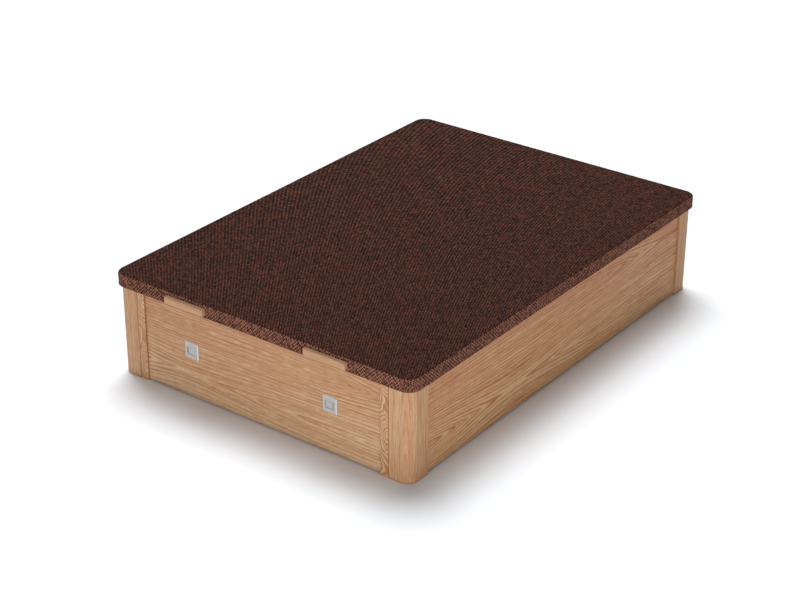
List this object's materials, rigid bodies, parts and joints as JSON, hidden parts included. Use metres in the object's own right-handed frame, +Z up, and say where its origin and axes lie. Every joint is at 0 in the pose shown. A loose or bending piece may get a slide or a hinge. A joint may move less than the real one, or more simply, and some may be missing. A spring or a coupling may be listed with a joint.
{
  "type": "ottoman bed base",
  "caption": "Storage bed base: oak-finish box with rounded corner posts and vents, and an upholstered lid that lifts at the foot end on links and gas struts.",
  "frame": {"origin": "on the floor under the middle of the whole footprint, handles included", "axes": "+Z up, -Y towards the foot end with the handles and vents, +Y towards the head end, X across the bed"},
  "size_m": [1.35, 1.916, 0.4115],
  "materials": {
    "oak_panel": "satin oak decor, grain along the panel",
    "oak_post": "satin oak decor, upright grain",
    "handle_wood": "satin oiled wood",
    "lid_fabric": "dark brown spacer fabric with a mottled weave",
    "lining_cloth": "black non-woven cloth",
    "lid_padding": "pale foam sheet",
    "plain_timber": "planed softwood",
    "board": "smooth fibreboard",
    "vent_metal": "satin aluminium",
    "dark_plastic": "moulded black plastic",
    "buffer_rubber": "matt rubber",
    "zinc_steel": "zinc-plated steel",
    "black_steel": "black powder coat",
    "rod_chrome": "hard-chromed rod"
  },
  "bodies": {
    "base": {"base_pivot_pins": "zinc_steel", "base_plate_screws": "zinc_steel", "cleat_screws": "zinc_steel", "floor_beam": "plain_timber", "floor_beam_foot": "dark_plastic", "floor_cleats": "plain_timber", "front_floor_board": "board", "front_left_post": "oak_post", "front_left_strip": "oak_post", "front_panel": "oak_panel", "front_right_post": "oak_post", "front_right_strip": "oak_post", "joint_plate_screws": "zinc_steel", "joint_plates": "zinc_steel", "left_base_plate": "black_steel", "left_side_panel": "oak_panel", "left_vent_cover": "vent_metal", "left_vent_frame": "vent_metal", "lid_buffers": "buffer_rubber", "post_glides": "dark_plastic", "rear_floor_board": "board", "rear_left_post": "oak_post", "rear_left_strip": "oak_post", "rear_panel": "oak_panel", "rear_right_post": "oak_post", "rear_right_strip": "oak_post", "right_base_plate": "black_steel", "right_side_panel": "oak_panel", "right_vent_cover": "vent_metal", "right_vent_frame": "vent_metal", "strut_foot_studs": "zinc_steel", "vent_collars": "dark_plastic"},
    "left_rear_link": {"left_rear_link": "black_steel", "left_rod_stud": "zinc_steel"},
    "left_front_link": {"left_front_link": "black_steel", "left_slide_pin": "zinc_steel"},
    "left_strut_barrel": {"left_strut_barrel": "black_steel"},
    "left_strut_rod": {"left_strut_rod": "rod_chrome"},
    "right_rear_link": {"right_rear_link": "black_steel", "right_rod_stud": "zinc_steel"},
    "right_front_link": {"right_front_link": "black_steel", "right_slide_pin": "zinc_steel"},
    "right_strut_barrel": {"right_strut_barrel": "black_steel"},
    "right_strut_rod": {"right_strut_rod": "rod_chrome"},
    "lid": {"lid_cover": "lid_fabric", "lid_foam": "lid_padding", "lid_board": "board", "lid_lining": "lining_cloth", "lid_front_batten": "plain_timber", "lid_rear_batten": "plain_timber", "lid_left_batten": "plain_timber", "lid_right_batten": "plain_timber", "lid_cross_slats": "plain_timber", "left_handle": "handle_wood", "right_handle": "handle_wood", "handle_screws": "zinc_steel", "left_lid_arm": "black_steel", "right_lid_arm": "black_steel", "lid_arm_screws": "zinc_steel", "lid_pivot_pins": "zinc_steel"}
  },
  "joints": [
    {"name": "lid_lift", "type": "hinge", "parent": "left_rear_link", "child": "lid", "pos_m": [-0.6175, 0.87, 0.334], "axis": [-1, 0, 0], "range_deg": [0, 86]},
    {"name": "left_rear_link_swing", "type": "hinge", "parent": "base", "child": "left_rear_link", "pos_m": [-0.6175, 0.606, 0.17], "axis": [1, 0, 0], "range_deg": [0, 50.01]},
    {"name": "left_front_link_swing", "type": "hinge", "parent": "base", "child": "left_front_link", "pos_m": [-0.6175, 0.459, 0.189], "axis": [1, 0, 0], "range_deg": [0, 47.41]},
    {"name": "left_strut_barrel_swing", "type": "hinge", "parent": "base", "child": "left_strut_barrel", "pos_m": [-0.597, 0.79191, 0.062], "axis": [1, 0, 0], "range_deg": [0, 25.01]},
    {"name": "left_strut_rod_swing", "type": "hinge", "parent": "left_rear_link", "child": "left_strut_rod", "pos_m": [-0.597, 0.78863, 0.28345], "axis": [-1, 0, 0], "range_deg": [0, 25.01]},
    {"name": "right_rear_link_swing", "type": "hinge", "parent": "base", "child": "right_rear_link", "pos_m": [0.6175, 0.606, 0.17], "axis": [1, 0, 0], "range_deg": [0, 50.01]},
    {"name": "right_front_link_swing", "type": "hinge", "parent": "base", "child": "right_front_link", "pos_m": [0.6175, 0.459, 0.189], "axis": [1, 0, 0], "range_deg": [0, 47.41]},
    {"name": "right_strut_barrel_swing", "type": "hinge", "parent": "base", "child": "right_strut_barrel", "pos_m": [0.597, 0.79191, 0.062], "axis": [1, 0, 0], "range_deg": [0, 25.01]},
    {"name": "right_strut_rod_swing", "type": "hinge", "parent": "right_rear_link", "child": "right_strut_rod", "pos_m": [0.597, 0.78863, 0.28345], "axis": [-1, 0, 0], "range_deg": [0, 25.01]}
  ],
  "couplings": [
    {"joint": "left_rear_link_swing", "follows": "lid_lift", "ratio": 0.5814},
    {"joint": "left_front_link_swing", "follows": "lid_lift", "ratio": 0.55116},
    {"joint": "left_strut_barrel_swing", "follows": "lid_lift", "ratio": 0.2907},
    {"joint": "left_strut_rod_swing", "follows": "lid_lift", "ratio": 0.2907},
    {"joint": "right_rear_link_swing", "follows": "lid_lift", "ratio": 0.5814},
    {"joint": "right_front_link_swing", "follows": "lid_lift", "ratio": 0.55116},
    {"joint": "right_strut_barrel_swing", "follows": "lid_lift", "ratio": 0.2907},
    {"joint": "right_strut_rod_swing", "follows": "lid_lift", "ratio": 0.2907}
  ]
}
